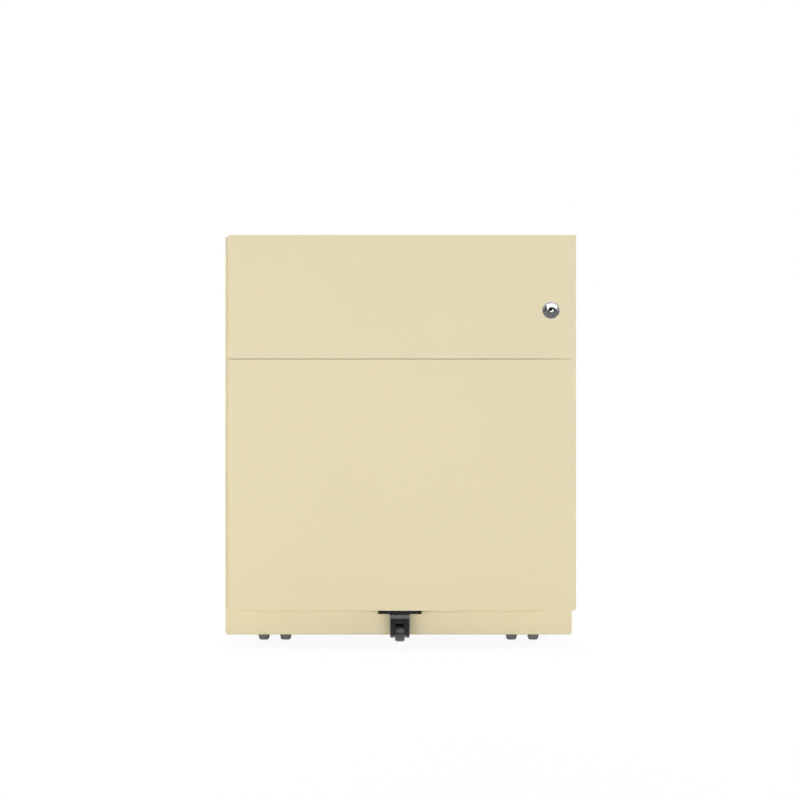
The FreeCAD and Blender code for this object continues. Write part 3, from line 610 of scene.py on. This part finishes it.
def floor():
    """White to the camera with a soft shadow, dim in front in reflections, plain for the rest."""
    mesh = bpy.data.meshes.new("floor")
    size = FLOOR_HALF
    rim = [(-size, -size, 0), (size, -size, 0), (size, size, 0), (-size, size, 0)]
    mesh.from_pydata(rim, [], [(0, 1, 2, 3)])
    obj = bpy.data.objects.new("floor", mesh)
    bpy.context.scene.collection.objects.link(obj)
    mat = bpy.data.materials.new("floor")
    mat.use_nodes = True
    tree = mat.node_tree
    tree.nodes.clear()
    place = position(tree)
    length = node(tree, "ShaderNodeVectorMath", operation="LENGTH")
    link(tree, place, length.inputs[0])
    away = ramp(tree, length.outputs["Value"], 0, 1, *FLOOR_FADE)
    near = node(tree, "ShaderNodeAddShader")
    link(tree, matt(tree, FLOOR_SHADOW), near.inputs[0])
    link(tree, glowing(tree, FLOOR_GLOW), near.inputs[1])
    shown = mixed(tree, away, near.outputs[0], glowing(tree, 1.0))
    front = ramp(tree, along_y(tree, place), 0, 1, *FLOOR_FRONT_FADE)
    mirrored = mixed(tree, front, shown, glowing(tree, FLOOR_FRONT))
    path = node(tree, "ShaderNodeLightPath")
    unseen = mixed(tree, path.outputs["Is Glossy Ray"], matt(tree, FLOOR_PLAIN), mirrored)
    out = node(tree, "ShaderNodeOutputMaterial")
    link(tree, mixed(tree, path.outputs["Is Camera Ray"], unseen, shown), out.inputs["Surface"])
    mesh.materials.append(mat)


def world():
    """White to the camera, a studio dim towards the front in reflections, and a plain ambient."""
    made = bpy.data.worlds.new("studio")
    made.use_nodes = True
    tree = made.node_tree
    tree.nodes.clear()
    ambient = node(tree, "ShaderNodeBackground", Color=WHITE, Strength=AMBIENT)
    shown = node(tree, "ShaderNodeBackground", Color=WHITE, Strength=1.0)
    studio = node(tree, "ShaderNodeBackground", Color=WHITE)
    facing = along_y(tree, node(tree, "ShaderNodeTexCoord").outputs["Generated"])
    light = ramp(tree, facing, STUDIO_FRONT, 1.0, *STUDIO_FADE)
    link(tree, light, studio.inputs["Strength"])
    path = node(tree, "ShaderNodeLightPath")
    unseen = mixed(tree, path.outputs["Is Glossy Ray"], ambient.outputs[0], studio.outputs[0])
    direct = node(tree, "ShaderNodeMath", operation="MAXIMUM")
    link(tree, path.outputs["Is Camera Ray"], direct.inputs[0])
    link(tree, path.outputs["Is Transmission Ray"], direct.inputs[1])
    out = node(tree, "ShaderNodeOutputWorld")
    link(tree, mixed(tree, direct.outputs[0], unseen, shown.outputs[0]), out.inputs["Surface"])
    bpy.context.scene.world = made


def lamp(name, place, aim, size, watts, mirrored=True, diffuse=True):
    """Rectangular lamp that may be kept out of reflections or of diffuse light."""
    data = bpy.data.lights.new(name, "AREA")
    data.shape = "RECTANGLE"
    data.size, data.size_y = size
    data.energy = watts
    obj = bpy.data.objects.new(name, data)
    obj.location = place
    obj.rotation_euler = (Vector(aim) - Vector(place)).to_track_quat("-Z", "Y").to_euler()
    obj.visible_glossy = mirrored
    obj.visible_diffuse = diffuse
    bpy.context.scene.collection.objects.link(obj)


def camera():
    """Level camera straight in front, as the photo was taken."""
    data = bpy.data.cameras.new("camera")
    data.sensor_width = SENSOR
    data.lens = LENS
    data.clip_start = NEAR_CLIP
    obj = bpy.data.objects.new("camera", data)
    obj.location = EYE
    obj.rotation_euler = (math.pi / 2, 0, 0)
    bpy.context.scene.collection.objects.link(obj)
    bpy.context.scene.camera = obj


lock()
castor_wheels()
bracket()
screws("runner_screw_detail", "runner_screws", "case",
       lambda low, high: (math.copysign(1, low.x), 0, 0),
       head_radius=4.0, head_height=0.9, shank_radius=2.3)
screws("castor_screw_detail", "castor_screws", "case", lambda low, high: UP,
       head_radius=4.0, head_height=2.2, shank_radius=2.3)
screws("anti_tilt_screw_detail", "anti_tilt_screws", "lower_drawer",
       lambda low, high: (0, 0, -1), head_radius=4.0, head_height=2.2, shank_radius=2.3)
screws("cam_screw_detail", "lock_cam_screw", "lock_plug", lambda low, high: AHEAD,
       head_radius=4.5, head_height=2.2, shank_radius=1.6)

floor()
world()
lamp("sheen", (0.6, -2.34, 1.75), aim=(0.1, -0.28, 0.35), size=(3.8, 2.3), watts=33,
     diffuse=False)
lamp("fill", (-0.2, -3.0, 0.22), aim=(0, 0, 0.2), size=(5.5, 0.4), watts=68, mirrored=False)
lamp("left", (-2.6, -1.0, 0.9), aim=(0, 0, 0.25), size=(1.6, 1.4), watts=6)
lamp("right", (2.6, -1.0, 0.9), aim=(0, 0, 0.25), size=(1.6, 1.4), watts=4)
lamp("left_side", (-2.6, 0.5, 1.0), aim=(0, 0, 0.25), size=(1.6, 1.4), watts=30)
lamp("right_side", (2.6, 0.5, 1.0), aim=(0, 0, 0.25), size=(1.6, 1.4), watts=32)
lamp("overhead", (0, 0, 2.6), aim=(0, 0, 0), size=(1.6, 1.6), watts=22)
lamp("back", (-0.3, 2.6, 1.6), aim=(0, 0, 0.3), size=(2.4, 1.4), watts=40)
camera()
bpy.context.scene.view_settings.view_transform = "Standard"
